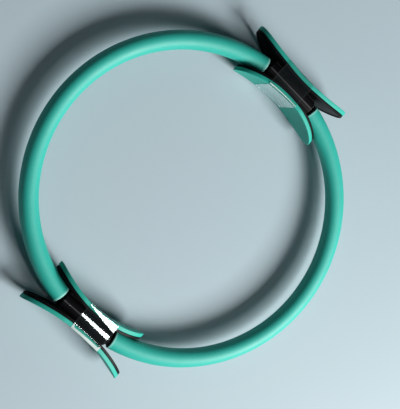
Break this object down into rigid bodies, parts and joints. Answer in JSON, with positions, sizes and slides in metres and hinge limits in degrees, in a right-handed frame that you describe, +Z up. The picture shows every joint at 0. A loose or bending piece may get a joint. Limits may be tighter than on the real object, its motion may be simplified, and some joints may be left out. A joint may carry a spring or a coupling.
{
  "type": "pilates ring",
  "caption": "Sprung exercise ring in a foam sleeve, with padded grip handles on opposite sides that are squeezed together or pressed apart.",
  "frame": {"origin": "on the surface the ring lies on, under the middle of the ring", "axes": "+X towards the right handle, +Y towards the rear half ring, +Z up, across the ring's plane"},
  "size_m": [0.3996, 0.3796, 0.0504],
  "materials": {
    "sleeve_foam": "satin closed-cell foam",
    "pad_foam": "matte closed-cell foam",
    "shell_plastic": "moulded gloss black",
    "plug_plastic": "moulded matt black",
    "band_steel": "blued spring steel",
    "pin_steel": "ground steel",
    "screw_steel": "zinc plated",
    "clear_film": "clear glossy film"
  },
  "bodies": {
    "left_handle": {"left_outer_shell": "shell_plastic", "left_inner_shell": "shell_plastic", "left_outer_pad": "pad_foam", "left_inner_pad": "pad_foam", "left_shell_screws": "screw_steel", "left_band_pins": "pin_steel", "left_clear_band": "clear_film"},
    "right_handle": {"right_outer_shell": "shell_plastic", "right_inner_shell": "shell_plastic", "right_outer_pad": "pad_foam", "right_inner_pad": "pad_foam", "right_shell_screws": "screw_steel", "right_band_pins": "pin_steel", "right_clear_band": "clear_film"},
    "rear_left_arc": {"rear_left_sleeve": "sleeve_foam", "rear_left_end_plug": "plug_plastic", "rear_spring_band": "band_steel"},
    "rear_right_arc": {"rear_right_sleeve": "sleeve_foam", "rear_right_end_plug": "plug_plastic"},
    "front_left_arc": {"front_left_sleeve": "sleeve_foam", "front_left_end_plug": "plug_plastic", "front_spring_band": "band_steel"},
    "front_right_arc": {"front_right_sleeve": "sleeve_foam", "front_right_end_plug": "plug_plastic"}
  },
  "joints": [
    {"name": "rear_left_pivot", "type": "hinge", "parent": "left_handle", "child": "rear_left_arc", "pos_m": [-0.17106, 0.025, 0.025], "axis": [0, 0, 1], "range_deg": [-2, 10], "stiffness_Nm_per_rad": 200},
    {"name": "rear_flex", "type": "hinge", "parent": "rear_left_arc", "child": "rear_right_arc", "pos_m": [0, 0.179, 0.025], "axis": [0, 0, 1], "range_deg": [-20, 4], "deforming": ["rear_spring_band"]},
    {"name": "rear_right_pivot", "type": "hinge", "parent": "rear_right_arc", "child": "right_handle", "pos_m": [0.17106, 0.025, 0.025], "axis": [0, 0, 1], "range_deg": [-2, 10]},
    {"name": "front_left_pivot", "type": "hinge", "parent": "left_handle", "child": "front_left_arc", "pos_m": [-0.17106, -0.025, 0.025], "axis": [0, 0, 1], "range_deg": [-10, 2]},
    {"name": "front_flex", "type": "hinge", "parent": "front_left_arc", "child": "front_right_arc", "pos_m": [0, -0.179, 0.025], "axis": [0, 0, 1], "range_deg": [-4, 20], "deforming": ["front_spring_band"]}
  ],
  "couplings": [
    {"joint": "rear_flex", "follows": "rear_left_pivot", "ratio": -2},
    {"joint": "rear_right_pivot", "follows": "rear_left_pivot", "ratio": 1},
    {"joint": "front_left_pivot", "follows": "rear_left_pivot", "ratio": -1},
    {"joint": "front_flex", "follows": "rear_left_pivot", "ratio": 2}
  ]
}
